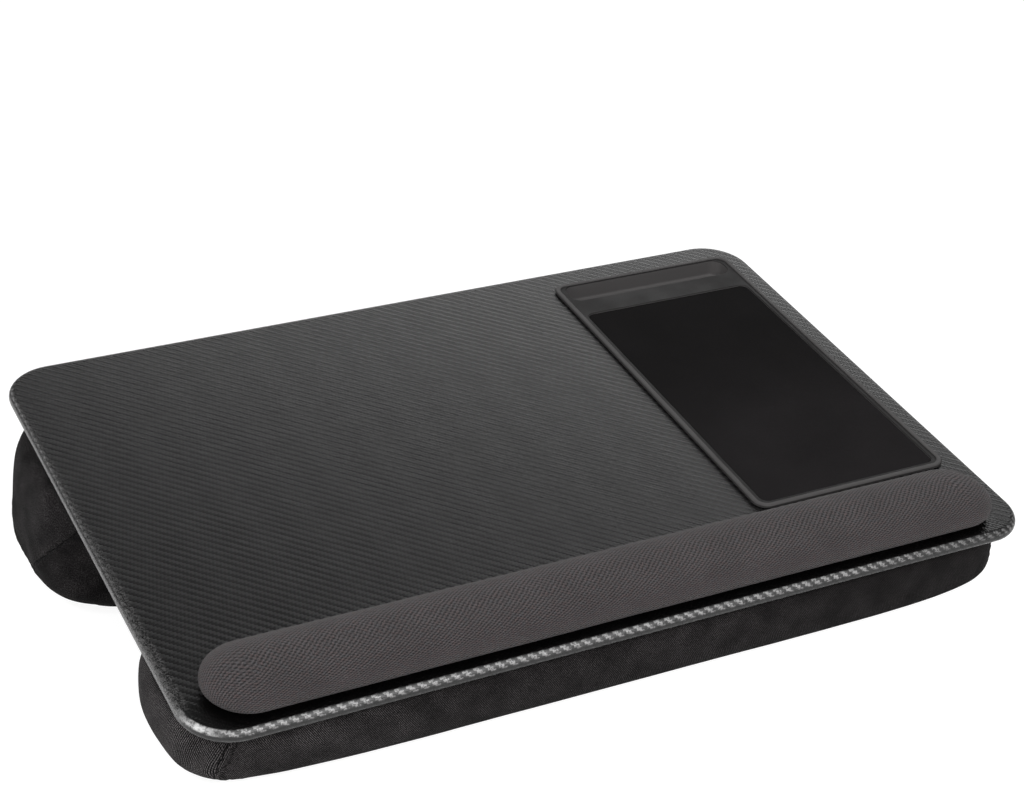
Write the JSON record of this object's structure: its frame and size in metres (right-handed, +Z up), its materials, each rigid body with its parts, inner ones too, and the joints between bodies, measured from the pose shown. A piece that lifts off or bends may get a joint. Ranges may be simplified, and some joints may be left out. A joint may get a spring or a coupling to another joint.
{
  "type": "lap desk",
  "caption": "Film-wrapped lap desk tilted on two stuffed bolster cushions, with a padded wrist rest and an inset tray holding a mouse pad and a phone slot.",
  "frame": {"origin": "on the floor, under the middle of the object's bounding box", "axes": "+X to the user's right along the cushions, +Y away from the user towards the raised rear edge, +Z up"},
  "size_m": [0.54, 0.3638, 0.1153],
  "materials": {
    "board_fibre": "raw fibreboard",
    "embossed_film": "embossed woven pattern, low sheen",
    "tray_plastic": "fine moulded texture",
    "pad_rubber": "closed-cell rubber",
    "pad_cloth": "fine smooth cloth",
    "rest_knit": "fine diamond knit",
    "rest_foam": "memory foam",
    "rest_base": "plain sheet",
    "rest_tape": "double-sided adhesive tape",
    "bolster_cloth": "woven polyester twill",
    "lining_cloth": "non-woven lining",
    "bolster_fill": "loose polyester fibre",
    "panel_wood": "black-faced fibreboard",
    "screw_steel": "zinc, countersunk heads"
  },
  "bodies": {
    "root": {"deck_board": "board_fibre", "deck_film": "embossed_film", "organiser_tray": "tray_plastic", "mouse_pad_rubber": "pad_rubber", "mouse_pad_cloth": "pad_cloth", "wrist_rest_cover": "rest_knit", "wrist_rest_foam": "rest_foam", "wrist_rest_base": "rest_base", "wrist_rest_tape": "rest_tape", "under_panel": "panel_wood", "rear_bolster_wrap": "bolster_cloth", "rear_bolster_end_left": "bolster_cloth", "rear_bolster_end_right": "bolster_cloth", "rear_bolster_top_cloth": "lining_cloth", "rear_bolster_fill": "bolster_fill", "front_bolster_wrap": "bolster_cloth", "front_bolster_end_left": "bolster_cloth", "front_bolster_end_right": "bolster_cloth", "front_bolster_top_cloth": "lining_cloth", "front_bolster_fill": "bolster_fill", "panel_screw_1": "screw_steel", "panel_screw_2": "screw_steel", "panel_screw_3": "screw_steel", "panel_screw_4": "screw_steel", "panel_screw_5": "screw_steel", "panel_screw_6": "screw_steel", "tray_screw_1": "screw_steel", "tray_screw_2": "screw_steel", "tray_screw_3": "screw_steel", "tray_screw_4": "screw_steel"}
  },
  "joints": []
}
